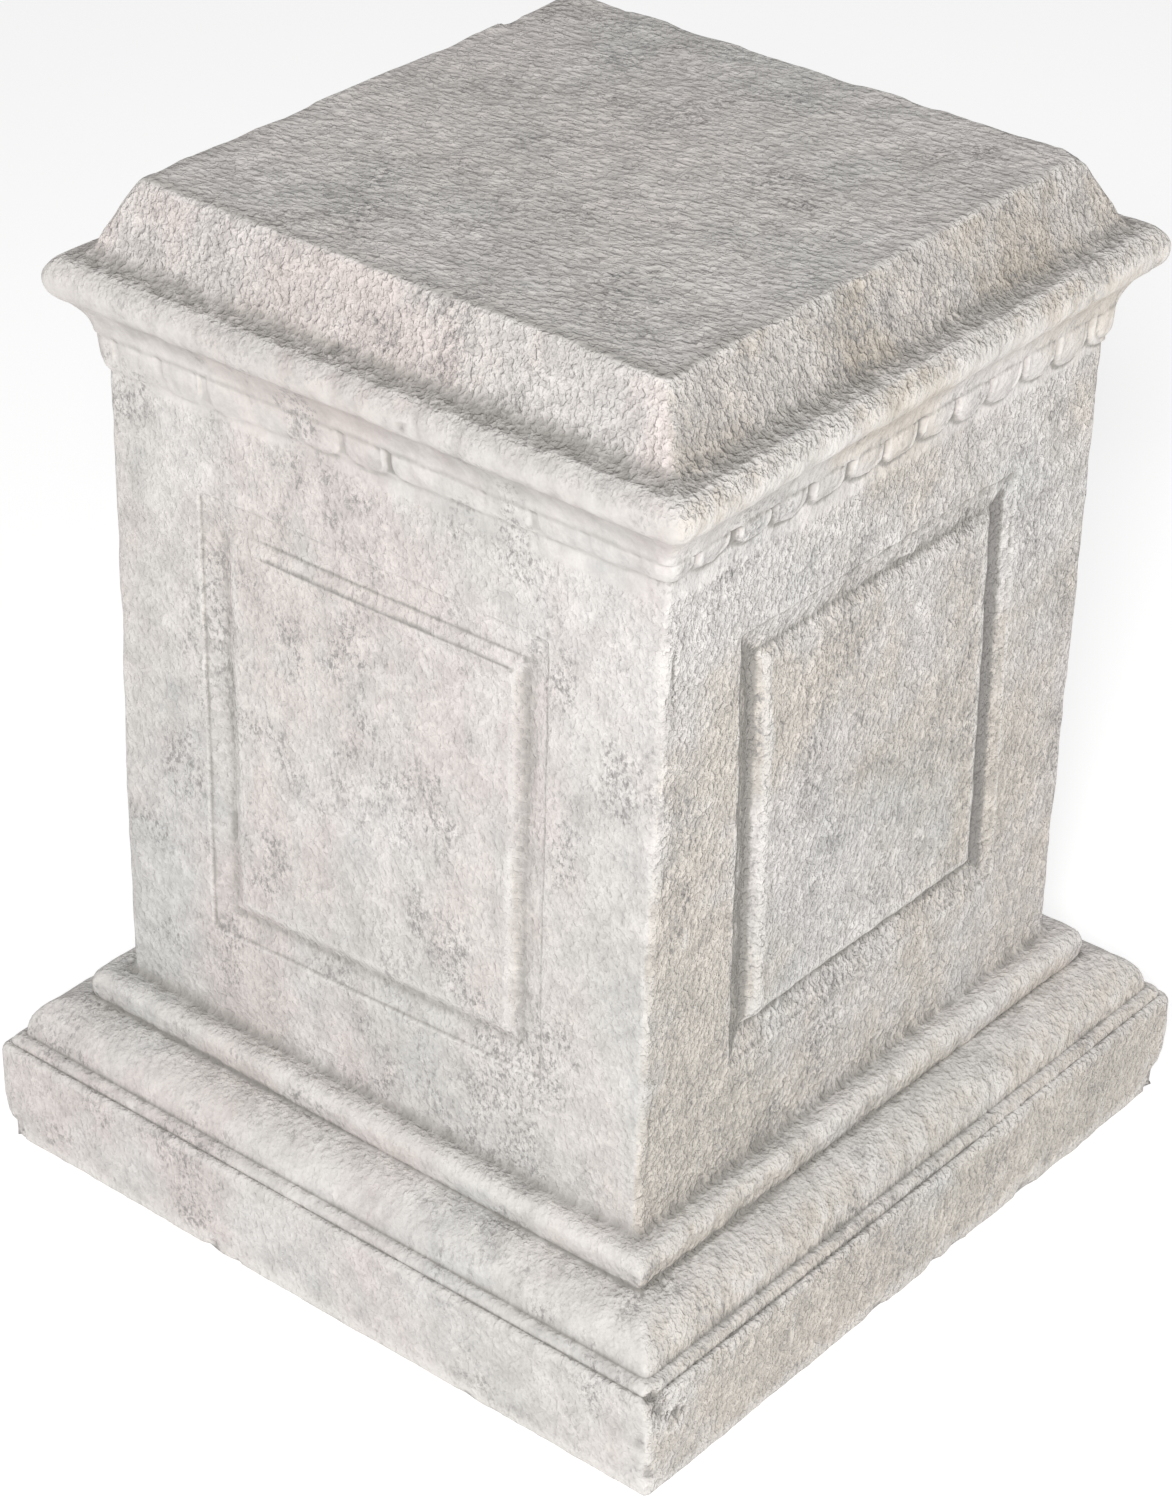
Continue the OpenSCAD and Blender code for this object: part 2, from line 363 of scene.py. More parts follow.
class Columns:
    """Columns of the skin all round. A point of a ring of half-width w and corner radius r lies
    at reach * (w - r) + out * r, and across is its place on its side, from -1 to 1."""

    def __init__(self, places, split):
        reach, out, side, across = [], [], [], []
        for s in range(4):
            facing, running = FACING[s], RUNNING[s]
            marks = np.arange(len(places[s]))
            fine = np.interp(np.arange((len(marks) - 1) * split[s] + 1) / split[s], marks, places[s])
            for a in fine:
                reach.append(facing + running * a)
                out.append(facing)
                side.append(s)
                across.append(a)
            turns = np.radians(np.linspace(0, 90, CORNER_STEPS * 2 ** (split[s] > 1) + 1)[1:-1])
            for turn in turns:
                reach.append(facing + running)
                out.append(facing * math.cos(turn) + running * math.sin(turn))
                side.append(s if turn <= math.pi / 4 else (s + 1) % 4)
                across.append(1.0 if turn <= math.pi / 4 else -1.0)
        self.reach, self.out = np.array(reach), np.array(out)
        self.side, self.across = np.array(side), np.array(across)

    def points(self, rings):
        """Points of every ring at every column."""
        half, height, corner = rings.T
        flat = (self.reach[None] * (half - corner)[:, None, None]
                + self.out[None] * corner[:, None, None])
        return np.dstack([flat, np.broadcast_to(height[:, None], flat.shape[:2])])


def column_places(size, at, stops):
    """Places across a side from -1 to 1, with the stops as spacings."""
    reach = at.die - size.die_edge
    ends = (at.field_half - 1 * MM, at.panel_half - 2 * MM, at.panel_half + 1.5 * MM, reach - 6 * MM, reach)
    places = [0.0]
    for end, step in zip(ends, stops):
        start = places[-1]
        places.extend(np.linspace(start, end, max(round((end - start) / step), 1) + 1)[1:])
    half = np.array(places) / reach
    return np.concatenate([-half[:0:-1], half])


# ---- carving on the faces ---------------------------------------------------------------


# Each side's values, in the order front, right, back, left.
PANEL_DEPTH = (0.55, 1.05, 0.6, 0.55)     # depth of the channel against the full depth
EGG_ROW = ((-0.136, 0.133), (-0.1345, 0.1275), (-0.134, 0.134), (-0.134, 0.134))  # ends, in metres
EGG_CLOG = (0.05, 0.25, 0.35)             # how far the eggs' gaps are filled, on all but the front


def from_panel_edge(at, across, height):
    """How far a point lies inside the panel's outer edge, with its corners a little rounded."""
    low, high = at.panel_z
    to_side = at.panel_half - np.abs(across)
    to_end = (high - low) / 2 - np.abs(height - (high + low) / 2)
    soften = 1.1 * MM
    return np.minimum(to_side, to_end) - 0.6 * soften * np.exp(-np.abs(to_side - to_end) / soften / 1.5)


def panel_relief(size, at, across, height, side):
    """Channel round the raised field: a small step, a slope down, and a rounded rise."""
    inward = from_panel_edge(at, across, height)
    fall, rise = size.channel_fall, size.channel_rise
    deepest = size.channel_depth * np.choose(side, PANEL_DEPTH)
    towards_head = smooth(-7 * MM, 7 * MM, at.panel_half - np.abs(across) - (at.panel_z[1] - height))
    deepest = deepest * (1 - 0.45 * towards_head)
    step = 0.95 * MM * smooth(-0.5 * MM, 0.7 * MM, inward)
    slope = (deepest - 0.95 * MM) * np.clip((inward - 0.6 * MM) / fall, 0, 1) ** 1.1
    up = smooth(fall - 0.8 * MM, fall + rise * 0.85, inward)
    rim = (0.2 * MM + 0.1 * deepest) * bump(inward - fall - rise, 3.0 * MM)
    return -(step + slope) * (1 - up) - size.field_set * smooth(fall, fall + rise, inward) + rim * up


def panel_dirt_and_shade(size, at, across, height, side):
    """How much darker the panels are: along the field's upper edge and deep in the channels, with painted
    shade on the slopes turned away from the light and under the panel's head, and a painted shadow line
    along the outer step.
    """
    inward = from_panel_edge(at, across, height)
    low, high = at.panel_z
    fall, rise = size.channel_fall, size.channel_rise
    to_side = at.panel_half - np.abs(across)
    upper = high - height < to_side + 2 * MM
    upright = to_side < np.minimum(high - height, height - low)
    line = 1.2 * bump(inward - fall - rise * 0.9, 1.0 * MM) + 0.8 * bump(inward - fall - 0.5 * MM, 1.0 * MM)
    lines = line * upper * np.choose(side, (1.7 * smooth(-0.075, -0.05, across), 0.5, 0.3, 0.3))
    floor = bump(inward - fall, 4.0 * MM)
    near_foot = height - low < to_side
    right_slit = 1.3 * smooth(0, 0.02, across) * smooth(high - 0.075, high - 0.03, height) * ~upper
    pooled = np.choose(side, (0.42 * near_foot, 0.25 + 0.25 * (across > 0) + right_slit, 0.4, 0.4))
    # Painted shadow: a dark line along the channel's outer step.
    edge = np.choose(side, (0.8 - 0.6 * upper, 0.6, 0.4, 0.4)) * bump(inward - 0.6 * MM, 1.0 * MM)
    # Painted shade on the slopes that turn away from the light: the fall on the left, the climb on the
    # right.
    slope = smooth(-0.3 * MM, 0.9 * MM, inward) * smooth(fall + 3 * MM, fall + 1 * MM, inward)
    climb = smooth(fall - 7 * MM, fall - 5.5 * MM, inward)
    climb = climb * smooth(fall + rise, fall + rise - 2 * MM, inward)
    shade_turned_away = np.where(across < 0, 1.4 * slope, 2.3 * climb) * upright
    shade_turned_away = shade_turned_away * np.choose(side, (0.25, 1, 0, 0))
    # Painted shade on the down-facing slope under the panel's head, on the right face.
    shade_under_head = 0.35 * slope * upper * (side == RIGHT)
    return lines + floor * pooled + edge + shade_turned_away + shade_under_head


def panel_drift(at, across, height, side):
    """How far the two front panels have slipped out of true, along the face and up it."""
    low, high = at.panel_z
    climb = np.clip((height - low) / (high - low), 0, 1)
    leftness = np.clip(0.5 - across / at.panel_half / 2, 0, 1)
    hold = smooth(at.die - 6 * MM, at.panel_half + 6 * MM, np.abs(across))
    hold *= smooth(at.ledge_z + 12 * MM, low - 10 * MM, height)
    hold *= smooth(at.egg_foot_z - 4 * MM, high + 8 * MM, height)
    along = np.choose(side, (-3 * MM * climb, 4 * MM - 10 * MM * climb, 0, 0))
    up = np.choose(side, (-8 * MM * (1 - climb) * leftness, 3 * MM * climb * leftness, 0, 0))
    return along * hold, up * hold


def tongue(x, t, half, height):
    """How far a point lies inside an egg that hangs from the soffit, with x across it from -1 to
    1 and t up it from 0 to 1."""
    foot, power = 0.62, 2.3
    drop = np.clip((foot - t) / foot, 0, None)
    return (1 - (np.abs(x) ** power + drop ** power) ** (1 / power)) * np.minimum(half, height * foot)


def egg_relief(size, at, across, height, side, clog, grain, points):
    """Row of eggs under the soffit, with wrapped eggs at the corners, and the darker gaps and outlines
    round them.
    """
    towards = np.choose(side, (across, -across, -at.die, -at.die)) / at.die
    foot_z = at.egg_foot_z + 1 * MM + 3.7 * MM * (1 + towards)
    tall = at.cove_foot_z - foot_z
    t = (height - foot_z) / tall
    swell = size.egg_out * (0.34 + 0.66 * np.sin(np.clip(t, 0, 1) * math.pi / 2))
    start = np.choose(side, [row[0] for row in EGG_ROW])
    end = np.choose(side, [row[1] for row in EGG_ROW])
    pitch = (end - start) / size.egg_count
    index = np.clip(np.floor((across - start) / pitch), 0, size.egg_count - 1)
    half = pitch / 2 - 0.8 * MM
    jitter = 0.05 * np.sin(index * 2.4 + side * 1.7)
    x = (across - start - (index + 0.5) * pitch) / half + jitter
    lift = 0.05 * np.sin(index * 3.9 + side)
    inside = tongue(x, t + lift, half, tall)
    corner_half = np.where(across < 0, start + at.die, at.die - end) - 0.8 * MM
    wrapped = tongue((at.die - np.abs(across)) / corner_half, t, corner_half, tall)
    at_corner = (across < start) | (across > end)
    inside = np.where(at_corner, wrapped, inside)
    body = smooth(0, size.egg_edge, inside)
    line = bump(inside - 2.9 * MM, 0.8 * MM) * 0.8 * MM * smooth(-0.5, 0.6, x + 1.2 * at_corner)
    boss = smooth(3.2 * MM, 7 * MM, inside) * 0.7 * MM
    between = 0.4 * smooth(0.62, 1.0, t)
    carved = swell * np.maximum(body, between) + (boss - line) * body
    patchy = clog + 0.42 * grain.at(points, 34 * MM) + 0.2 * smooth(0.07, 0.12, np.abs(across))
    fill = np.clip(np.choose(side, (patchy, *EGG_CLOG)), 0, 0.9)
    ribbon = swell * smooth(-0.02, 0.2, t)
    gap = (1 - smooth(-0.3 * MM, 0.9 * MM, inside)) * smooth(0.1, 0.3, t) * (1 - 0.6 * smooth(0.5, 0.9, t))
    outline = 1.5 * bump(inside + 0.4 * MM, 1.0 * MM) * smooth(0.85, 0.6, t)
    grime = (np.maximum(gap * 3.0, outline) + 0.9 * line / MM) * (1 - 0.95 * fill)
    grime = grime * (0.9 + 0.6 * grain.at(points + 1, 22 * MM))
    return (carved * (1 - fill) + ribbon * fill) * smooth(-0.03, 0.05, t), grime


# Stretches of the crack: heights in metres where it starts, is full, starts to fade and ends, and
# how deep it is there.
CRACK_STRETCHES = ((0.215, 0.235, 0.375, 0.392, 1.0), (0.095, 0.11, 0.15, 0.17, 0.6))


def edge_crack(at, across, height, side, grain, points):
    """Thin broken crack that runs down beside the front edge."""
    wander = 1.6 * MM * grain.at(points * [0, 0, 1], 45 * MM)
    place = across + at.die - 6.2 * MM - wander
    broken = smooth(-0.05, 0.25, grain.at(points * [0, 0, 1] + 5, 26 * MM))
    spans = sum(depth * smooth(start, full, height) * smooth(end, fading, height)
                for start, full, fading, end, depth in CRACK_STRETCHES)
    return bump(place, 0.9 * MM) * broken * spans * (side == RIGHT)


# Chips and pits: place in metres, radius and depth in millimetres.
CHIPS = (
    ((0.189, -0.180, 0.043), 6, 3.0), ((0.190, -0.171, 0.036), 5, 2.0), ((0.184, -0.189, 0.030), 5, 1.0),
    ((0.189, -0.188, 0.012), 6, 1.0), ((0.190, -0.184, 0.050), 7, 2.2), ((0.176, -0.190, 0.046), 4, 0.7),
    ((-0.058, -0.189, 0.000), 6, 1.9), ((-0.046, -0.189, 0.000), 4, 1.4), ((0.090, -0.189, 0.000), 6, 1.0),
    ((0.189, -0.030, 0.000), 7, 1.6), ((0.189, 0.012, 0.000), 6, 1.9), ((0.189, 0.030, 0.000), 5, 1.3),
    ((0.189, 0.080, 0.000), 8, 1.4), ((0.186, 0.187, 0.004), 10, 2.6), ((-0.187, -0.187, 0.004), 9, 2.2),
    ((-0.014, -0.150, 0.439), 3, 1.1), ((0.030, -0.163, 0.426), 3, 0.7), ((0.146, -0.130, 0.142), 3, 0.8),
    ((0.150, -0.152, 0.345), 5, 0.8), ((0.148, -0.148, 0.222), 6, 0.8), ((0.160, 0.090, 0.432), 4, 0.7),
    ((-0.120, 0.190, 0.002), 9, 2.0), ((-0.190, 0.060, 0.002), 8, 1.8), ((-0.163, 0.164, 0.428), 8, 1.6),
    ((-0.190, 0.188, 0.050), 7, 1.8), ((0.133, 0.134, 0.469), 6, 1.2), ((-0.134, 0.090, 0.469), 6, 1.2),
)


# ---- joining rings and surfaces ---------------------------------------------------------


class Shell:
    """Vertices and faces of the skin, added block by block."""

    def __init__(self):
        self.points, self.run, self.grime, self.faces = [], [], [], []
        self.count = 0

    def add_points(self, points, run, grime):
        """Adds points with their place along the skin and their dirt and painted shade, and returns their
        numbers.
        """
        flat = points.reshape(-1, 3)
        numbers = np.arange(self.count, self.count + len(flat)).reshape(points.shape[:-1])
        self.points.append(flat)
        self.run.append(run.reshape(-1, 3))
        self.grime.append(grime.ravel())
        self.count += len(flat)
        return numbers

    def band(self, numbers):
        """Quads between the rings of a closed block."""
        beside = np.roll(numbers, -1, axis=1)
        quads = np.stack([numbers[:-1], beside[:-1], beside[1:], numbers[1:]], axis=-1)
        self.faces.extend(quads.reshape(-1, 4).tolist())

    def sheet(self, numbers, upward):
        """Quads of an open grid that faces up or down."""
        a, b, c, d = numbers[:-1, :-1], numbers[:-1, 1:], numbers[1:, 1:], numbers[1:, :-1]
        order = (a, b, c, d) if upward else (d, c, b, a)
        self.faces.extend(np.stack(order, axis=-1).reshape(-1, 4).tolist())

    def zip_loops(self, lower, upper, lower_at, upper_at):
        """Triangles between two closed loops that have different numbers of points."""
        i = j = 0
        lower_at, upper_at = (np.append(at, at[0] + 4) for at in (lower_at, upper_at))
        while i < len(lower) or j < len(upper):
            this, that = lower[i % len(lower)], upper[j % len(upper)]
            if j == len(upper) or (i < len(lower) and lower_at[i + 1] <= upper_at[j + 1]):
                i += 1
                self.faces.append([this, lower[i % len(lower)], that])
            else:
                j += 1
                self.faces.append([this, upper[j % len(upper)], that])


def loop_places(points):
    """Place of each point round its loop, from 0 to 4, a side for each 1."""
    turn = np.degrees(np.arctan2(points[:, 1], points[:, 0])) + 135
    turn = np.where(turn < -0.01, turn + 360, turn)
    side, part = np.divmod(turn, 90)
    return side + (1 + np.tan(np.radians(part - 45))) / 2


def ring_order(steps):
    """Rows and columns of a square grid's rim, anticlockwise from its low corner."""
    run = np.arange(steps)
    rows = np.concatenate([0 * run, run, 0 * run + steps, steps - run])
    columns = np.concatenate([run, 0 * run + steps, steps - run, 0 * run])
    return rows, columns


def add_cap(shell, loop, half, height, steps, upward):
    """Closes the skin with a square grid inside its first or last loop."""
    line = np.linspace(-half, half, steps + 1)
    x, y = np.meshgrid(line, line)
    grid = np.dstack([x, y, np.full_like(x, height)])
    numbers = shell.add_points(grid, grid * [1, 1, 0], np.zeros_like(x))
    shell.sheet(numbers, upward)
    rows, columns = ring_order(steps)
    rim, rim_points = numbers[rows, columns], grid[rows, columns]
    outer = np.concatenate(shell.points)[loop]
    if upward:
        shell.zip_loops(loop, rim, loop_places(outer), loop_places(rim_points))
    else:
        shell.zip_loops(rim, loop, loop_places(rim_points), loop_places(outer))
    return numbers


# ---- the casting ------------------------------------------------------------------------


def band_grime(size, at, height):
    """Dirt that lies in level bands: above the nose, on the ledge and in the base's grooves."""
    recess = 0.9 * bump(height - at.nose_top_z + 0.5 * MM, 4.2 * MM)
    under = 0.9 * bump(height - at.cove_foot_z, 1.3 * MM)
    ledge = 0.35 * bump(height - at.ledge_z, 3.5 * MM)
    groove = 0.3 * bump(height - at.ledge_z + size.bead_height, 2.5 * MM)
    fine = 0.35 * bump(height - at.fillet_z, 1.5 * MM) + 0.35 * bump(height - size.plinth_height, 1.5 * MM)
    return recess + under + ledge + groove + fine


# Squares along each side of the grids that close the skin.
PLATFORM_GRID, UNDERSIDE_GRID = 76, 20


def build_skin(size, wear, at):
    """The whole skin before it is weathered, with its faces carved."""
    stops = np.array((SEEN_STOPS, SEEN_STOPS, HIDDEN_STOPS, HIDDEN_STOPS)) * MM
    places = [column_places(size, at, spacing) for spacing in stops]
    coarse, fine = Columns(places, (1, 1, 1, 1)), Columns(places, (3, 3, 3, 3))
    grain = Grain(11)
    shell = Shell()
    round_length = 8 * at.die
    climbed = 0.0
    last = None
    blocks = (("lower", lower_rings(size, at), coarse), ("eggs", egg_rings(size, at), fine),
              ("upper", upper_rings(size, at), coarse))
    for name, rings, columns in blocks:
        points = columns.points(rings)
        across = columns.across * (rings[:, :1] - rings[:, 2:])
        across = np.where(np.abs(columns.across) == 1.0, np.sign(columns.across) * rings[:, :1], across)
        side = np.broadcast_to(columns.side, across.shape)
        height = points[..., 2]
        out = np.zeros_like(across)
        grime = band_grime(size, at, height)
        if name == "lower":
            on_die = height > at.ledge_z + 20 * MM
            crack = edge_crack(at, across, height, side, grain, points) * on_die
            out += panel_relief(size, at, across, height, side) * on_die - 1.2 * MM * crack
            # The panels add their dirt and their painted shade.
            grime += panel_dirt_and_shade(size, at, across, height, side) * on_die + crack
            along, up = panel_drift(at, across, height, side)
            points = points + np.dstack([RUNNING[side] * (along * on_die)[..., None], up * on_die])
        if name == "eggs":
            out, dirt = egg_relief(size, at, across, height, side, wear.clog, grain, points)
            grime += dirt
        points = points + np.dstack([columns.out[None] * out[..., None], np.zeros_like(out)])
        steps = np.linalg.norm(np.diff(rings[:, :2], axis=0), axis=1)
        up = climbed + np.concatenate([[0], np.cumsum(steps)])
        climbed = up[-1] + 1.2 * MM
        turn = loop_places(points[0, :, :2]) * math.pi / 2
        wound = round_length / (2 * math.pi) * np.column_stack([np.cos(turn), np.sin(turn)])
        run = np.dstack([np.broadcast_to(wound, points.shape[:2] + (2,)),
                         np.broadcast_to(up[:, None], points.shape[:2])])
        numbers = shell.add_points(points, run, grime)
        shell.band(numbers)
        if last is not None:
            shell.zip_loops(last[0], numbers[0], last[1], loop_places(points[0, :, :2]))
        else:
            bottom = numbers[0]
        last = (numbers[-1], loop_places(points[-1, :, :2]))
        last_half = rings[-1, 0]
    top = add_cap(shell, last[0], last_half - 3 * MM, size.height, PLATFORM_GRID, True)
    under = add_cap(shell, bottom, at.plinth - 12 * MM, 0.0, UNDERSIDE_GRID, False)
    return shell, top, under


def face_normals(points, faces):
    """Normal of every vertex, from the faces round it."""
    normals = np.zeros_like(points)
    for count in (3, 4):
        chosen = np.array([face for face in faces if len(face) == count])
        if not len(chosen):
            continue
        first = points[chosen[:, 2]] - points[chosen[:, 0]]
        second = points[chosen[:, -1]] - points[chosen[:, 1]]
        turned = np.cross(first, second)
        for k in range(count):
            np.add.at(normals, chosen[:, k], turned)
    return normals / np.maximum(np.linalg.norm(normals, axis=1), 1e-12)[:, None]


def chip_away(points):
    """Depth that the chips take off each vertex, and how far inside a chip it lies."""
    lost, pitted = np.zeros(len(points)), np.zeros(len(points))
    rag = Grain(27).at(points, 5 * MM)
    for place, radius, depth in CHIPS:
        near = np.linalg.norm(points - np.array(place), axis=1) / (radius * MM) + 0.35 * rag
        hit = np.clip(1 - near ** 2, 0, 1)
        lost += depth * MM * np.minimum(hit * 1.8, 1)
        pitted = np.maximum(pitted, hit)
    return lost, pitted


def weather(size, wear, at, points, normals):
    """Bows, ripples, hammers and chips the skin, and returns the new points and where chips are."""
    sides = np.abs(normals[:, 2]) < 0.75
    on_top = normals[:, 2] > 0.9
    rough = 0.75 + 0.55 * smooth(0.3, 0.9, normals[:, 0]) - 0.15 * smooth(0.3, 0.9, -normals[:, 1])
    rough = np.where(on_top, 1.0, rough)
    platform = smooth(size.height - 6 * MM, size.height - 1 * MM, points[:, 2])
    out = wear.bow * Grain(21).at(points, 150 * MM)
    out += wear.ripple * Grain(22).layered(points, 38 * MM, 2)
    strokes = points * [1, 1, 0.6]
    out += wear.stipple * rough * Grain(23).layered(strokes, 10 * MM, 2)
    out += 0.55 * wear.stipple * rough * Grain(24).at(points * [1, 1, 0.55], 5.2 * MM)
    edges = smooth(0.35, 0.75, np.minimum(np.abs(normals[:, 0]), np.abs(normals[:, 1])) * 1.5)
    out += edges * sides * 0.38 * MM * Grain(25).layered(points, 17 * MM, 2)
    from_axis = np.abs(points[:, :2]).max(1)
    rim = smooth(at.platform - 9 * MM, at.platform - 1 * MM, from_axis) * platform
    out += rim * 0.8 * MM * Grain(26).at(points, 24 * MM)
    dish = 0.7 * MM * (1 - smooth(at.platform - 30 * MM, at.platform - 2 * MM, from_axis))
    out -= dish * on_top
    lost, pitted = chip_away(points)
    out -= lost * wear.chip
    under = points[:, 2] < 0.5 * MM
    flat = normals * np.where(under, 0, 1)[:, None]
    sideways = normals * [1, 1, 0] / np.maximum(np.linalg.norm(normals[:, :2], axis=1), 0.3)[:, None]
    rim_foot = under & (from_axis > at.plinth - 6 * MM)
    flat[rim_foot] = sideways[rim_foot]
    moved = points + flat * out[:, None]
    moved[under, 2] = 0
    moved[:, 2] = np.maximum(moved[:, 2], 0)
    return moved, pitted


def lean_over(size, wear, at, points):
    """Leans the casting a little, each corner by its own amount."""
    share = np.clip(points[:, None, :2] / at.plinth * CORNER_SIGNS[None] * 0.5 + 0.5, 0, 1).prod(2)
    reach = share @ np.array(wear.lean)
    climb = smooth(size.plinth_height, size.height * 0.93, points[:, 2])
    angle = wear.lean_towards
    points[:, 0] += reach * climb * math.cos(angle)
    points[:, 1] += reach * climb * math.sin(angle)
    return points


def hollows(points, normals, faces, rounds):
    """How far each vertex lies below its smoothed surroundings."""
    edges = []
    for count in (3, 4):
        chosen = np.array([face for face in faces if len(face) == count])
        edges += [chosen[:, [k, (k + 1) % count]] for k in range(count)]
    edges = np.concatenate(edges)
    pairs = np.concatenate([edges, edges[:, ::-1]])
    weight = np.bincount(pairs[:, 0], minlength=len(points))[:, None]
    eased = points.copy()
    for _ in range(rounds):
        total = np.column_stack([np.bincount(pairs[:, 0], eased[pairs[:, 1], k], len(points))
                                 for k in range(3)])
        eased = 0.3 * eased + 0.7 * total / weight
    return ((eased - points) * normals).sum(1)


def add_layer(mesh, name, values):
    """Stores a value for each vertex under a name that the material reads."""
    kind = "FLOAT_VECTOR" if values.ndim == 2 else "FLOAT"
    layer = mesh.attributes.new(name, kind, "POINT")
    layer.data.foreach_set("vector" if values.ndim == 2 else "value", values.astype(np.float32).ravel())


def worn_smooth(size, at, height):
    """How much of the fine relief is worn off, on the eggs and on the base's mouldings."""
    eggs = smooth(-3 * MM, 0, height - at.egg_foot_z) * smooth(5 * MM, 0, height - at.nose_mid_z)
    mouldings = smooth(at.ledge_z + 8 * MM, at.ledge_z, height)
    mouldings = mouldings * smooth(-2 * MM, 2 * MM, height - size.plinth_height)
    return np.maximum(0.72 * eggs, 0.35 * mouldings)


def build_casting(size, wear, at):
    """Makes the pedestal's mesh."""
    shell, top, under = build_skin(size, wear, at)
    points = np.concatenate(shell.points)
    normals = face_normals(points, shell.faces)
    points, pitted = weather(size, wear, at, points, normals)
    height = points[:, 2].copy()
    normals = face_normals(points, shell.faces)
    near = hollows(points, normals, shell.faces, rounds=3)
    wide = hollows(points, normals, shell.faces, rounds=26)
    to_edge = at.platform - np.abs(points[:, :2]).max(1)
    points = lean_over(size, wear, at, points)
    mesh = bpy.data.meshes.new(PIECE)
    mesh.from_pydata(points.tolist(), [], shell.faces)
    flat = set(under.ravel().tolist())
    smooth_faces = np.array([not flat.issuperset(face) for face in shell.faces])
    mesh.polygons.foreach_set("use_smooth", smooth_faces)
    add_layer(mesh, "hollow_near", near / MM)
    add_layer(mesh, "hollow_wide", wide / MM)
    add_layer(mesh, "chipped", pitted)
    add_layer(mesh, "skin_run", np.concatenate(shell.run))
    # Dirt together with the panels' painted shade, for the material.
    add_layer(mesh, "grime", np.concatenate(shell.grime))
    add_layer(mesh, "worn_smooth", worn_smooth(size, at, height))
    on_top = (height > size.height - 4 * MM) * smooth(0.8, 0.93, normals[:, 2])
    on_top[top.ravel()] = 1
    add_layer(mesh, "platform", on_top)
    nearer = smooth(0.02, -0.13, points[:, 1]) * 0.8 + 0.35 * smooth(0.0, 0.13, points[:, 0])
    add_layer(mesh, "platform_rim", on_top * nearer * (1 - smooth(0, 10 * MM, to_edge)))
    if mesh.validate():
        raise RuntimeError("The casting's mesh has faces that are broken or doubled")
    mesh.update()
    return mesh


# ---- the stone --------------------------------------------------------------------------


class Wiring:
    """Adds nodes to a material's tree and links them, one call for each node."""

    def __init__(self, tree):
        self.tree = tree
        tree.nodes.clear()

    def add(self, kind, inputs=(), **settings):
        """A node with its inputs linked or set."""
        node = self.tree.nodes.new(kind)
        for name, value in settings.items():
            setattr(node, name, value)
        for key, value in dict(inputs).items():
            if isinstance(value, NodeSocket):
                self.tree.links.new(value, node.inputs[key])
            else:
                node.inputs[key].default_value = value
        return node

    def layer(self, name, output="Fac"):
        """A value stored on the mesh."""
        return self.add("ShaderNodeAttribute", attribute_name=name).outputs[output]

    def noise(self, vector, scale, detail, roughness):
        """Cloudy noise from 0 to 1."""
        return self.add("ShaderNodeTexNoise", {"Vector": vector, "Scale": scale, "Detail": detail,
                                               "Roughness": roughness}).outputs["Fac"]

    def stretched(self, vector, stretch, shift=(0.0, 0.0, 0.0), turn=(0.0, 0.0, 0.0)):
        """Coordinates scaled by a different amount along each axis."""
        return self.add("ShaderNodeMapping", {"Vector": vector, "Scale": stretch, "Location": shift,
                                              "Rotation": turn}).outputs[0]

    def ease(self, value, low, high, start=0.0, end=1.0):
        """The value moved smoothly from one range to another."""
        return self.add("ShaderNodeMapRange", {"Value": value, "From Min": low, "From Max": high,
                                               "To Min": start, "To Max": end},
                        interpolation_type="SMOOTHSTEP").outputs[0]

    def arithmetic(self, operation, first, second, clamp=False):
        """One step of arithmetic on two values."""
        return self.add("ShaderNodeMath", {0: first, 1: second}, operation=operation,
                        use_clamp=clamp).outputs[0]

    def plus(self, first, second, clamp=False):
        """The sum of two values, kept between 0 and 1 if asked."""
        return self.arithmetic("ADD", first, second, clamp)

    def minus(self, first, second):
        """The first value less the second."""
        return self.arithmetic("SUBTRACT", first, second)

    def times(self, first, second):
        """The product of two values."""
        return self.arithmetic("MULTIPLY", first, second)

    def larger(self, first, second):
        """The larger of two values."""
        return self.arithmetic("MAXIMUM", first, second)

    def height(self, place):
        """Height above the ground."""
        return self.add("ShaderNodeSeparateXYZ", {0: place}).outputs["Z"]

    def blend(self, share, below, above, mode="MIX"):
        """One colour laid over another."""
        colour = [(*c, 1.0) if isinstance(c, tuple) else c for c in (below, above)]
        node = self.add("ShaderNodeMix", {0: share, 6: colour[0], 7: colour[1]}, data_type="RGBA",
                        blend_type=mode)
        return node.outputs[2]


def facings(w):
    """How far the surface faces the right side, and how far the front."""
    facing = w.add("ShaderNodeSeparateXYZ", {0: w.add("ShaderNodeNewGeometry").outputs["Normal"]})
    to_right = w.ease(facing.outputs["X"], 0.2, 0.8)
    to_front = w.ease(w.times(facing.outputs["Y"], -1.0), 0.2, 0.8)
    return to_right, to_front


def bloom(w, colour, tint, cloud, high_up, towards, shares):
    """Lays a coloured bloom, more of it high up. Its shares are what every side has, what the side
    it turns towards has besides, and what height adds on that side."""
    everywhere, on_side, high_on_side = shares
    cloud = w.plus(cloud, w.times(high_up, 0.3), clamp=True)
    share = w.plus(w.times(towards, w.plus(w.times(high_up, high_on_side), on_side)), everywhere)
    return w.blend(w.times(cloud, share), colour, tint)


